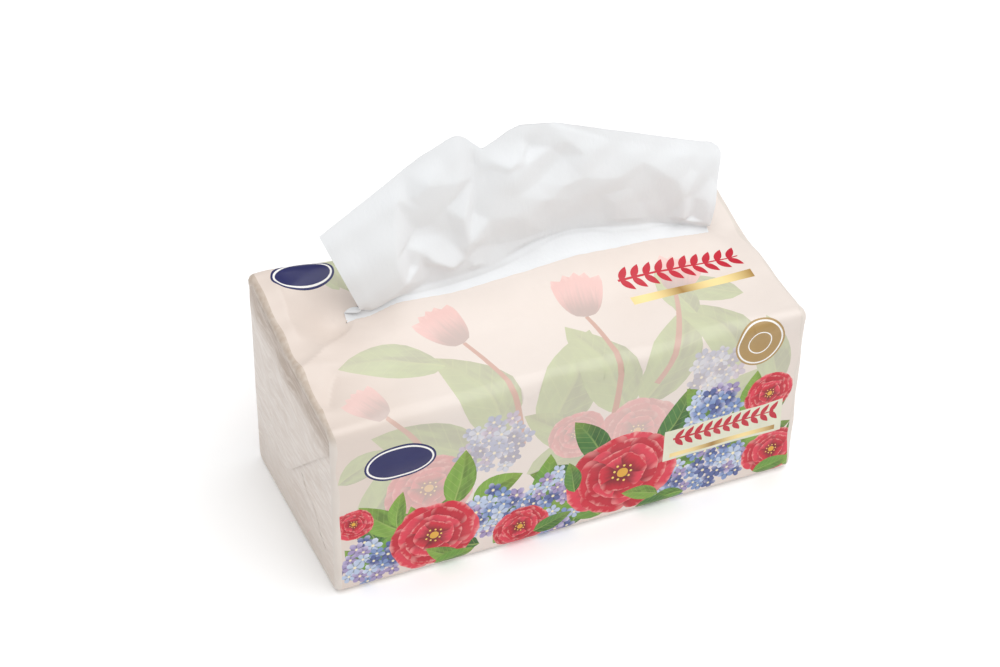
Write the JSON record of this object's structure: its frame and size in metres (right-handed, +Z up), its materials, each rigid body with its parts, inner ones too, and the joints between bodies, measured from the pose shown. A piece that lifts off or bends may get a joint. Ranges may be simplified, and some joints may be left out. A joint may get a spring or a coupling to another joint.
{
  "type": "soft pack facial tissue",
  "caption": "Soft pack of facial tissue: printed film wrap with folded ends, a slit along the top, a stack of folded sheets inside and the first sheet drawn half out.",
  "frame": {"origin": "middle of the flat base of the pack", "axes": "+X along the pack to the right as seen from the front, -Y towards the front face, +Z up through the slit"},
  "size_m": [0.2083, 0.092, 0.1584],
  "materials": {
    "film": "thin satin film with a printed floral design on cream",
    "tissue": "soft white two-ply tissue paper"
  },
  "bodies": {
    "root": {"film_wrap": "film", "tissue_stack": "tissue", "pulled_tissue": "tissue"}
  },
  "joints": []
}
